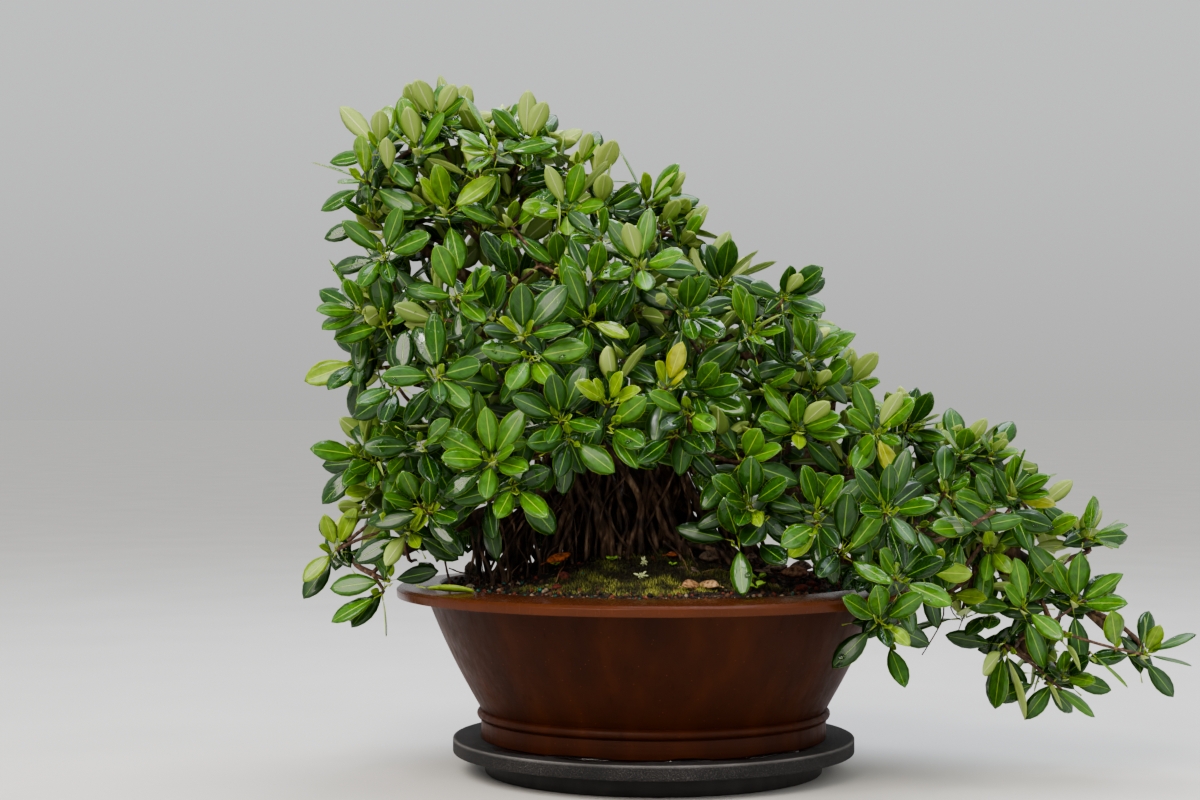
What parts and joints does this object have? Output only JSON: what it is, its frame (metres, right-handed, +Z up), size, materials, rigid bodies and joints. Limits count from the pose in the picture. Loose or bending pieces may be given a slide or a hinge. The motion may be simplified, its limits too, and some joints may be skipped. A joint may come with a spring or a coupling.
{
  "type": "ficus bonsai",
  "caption": "Green island ficus bonsai with aerial roots and a crown that trails over one side, in a round brown pot on a turntable that swivels.",
  "frame": {"origin": "centre of the turntable base's underside, on the surface that it stands on", "axes": "+Z up along the turntable's axis, +X towards the side where the long limb trails over the pot's rim, -Y towards the viewer"},
  "size_m": [0.6729, 0.384, 0.5197],
  "materials": {
    "leaf": "gloss",
    "bark": "matte",
    "brown_stoneware": "satin",
    "soil": "matte",
    "moss": "matte",
    "fresh_fallen_leaf": "satin",
    "dry_leaf": "matte",
    "black_board": "matte",
    "bearing_steel": "satin"
  },
  "bodies": {
    "stand_base": {"turntable_base": "black_board", "thrust_bearing": "bearing_steel"},
    "display": {"turntable_board": "black_board", "pot": "brown_stoneware", "soil": "soil", "moss": "moss", "fallen_leaf_on_lip": "fresh_fallen_leaf", "fallen_leaf_on_soil": "dry_leaf", "trunk_and_roots": "bark", "spray_apex_1": "leaf", "spray_apex_2": "leaf", "spray_apex_3": "leaf", "spray_apex_4": "leaf", "spray_left_1": "leaf", "spray_left_2": "leaf", "spray_left_3": "leaf", "spray_left_4": "leaf", "spray_left_5": "leaf", "spray_left_6": "leaf", "spray_ridge_1": "leaf", "spray_ridge_2": "leaf", "spray_ridge_3": "leaf", "spray_ridge_4": "leaf", "spray_ridge_5": "leaf", "spray_cascade_1": "leaf", "spray_cascade_2": "leaf", "spray_cascade_3": "leaf", "spray_cascade_4": "leaf", "spray_cascade_5": "leaf", "spray_cascade_6": "leaf", "spray_cascade_7": "leaf", "spray_cascade_8": "leaf", "spray_cascade_9": "leaf", "spray_cascade_10": "leaf", "spray_front_1": "leaf", "spray_front_2": "leaf", "spray_front_3": "leaf", "spray_front_4": "leaf", "spray_front_5": "leaf", "spray_front_6": "leaf", "spray_front_7": "leaf", "spray_front_8": "leaf", "spray_front_9": "leaf", "spray_front_10": "leaf", "spray_front_11": "leaf", "spray_front_12": "leaf", "spray_front_13": "leaf", "spray_front_14": "leaf", "spray_front_15": "leaf", "spray_front_16": "leaf", "spray_back_1": "leaf", "spray_back_2": "leaf", "spray_back_3": "leaf", "spray_back_4": "leaf", "spray_back_5": "leaf", "spray_back_6": "leaf", "spray_back_7": "leaf", "spray_back_8": "leaf", "spray_back_9": "leaf", "spray_back_10": "leaf"}
  },
  "joints": [
    {"name": "swivel", "type": "hinge", "parent": "stand_base", "child": "display", "pos_m": [0, 0, 0.0152], "axis": [0, 0, 1], "continuous": true}
  ]
}
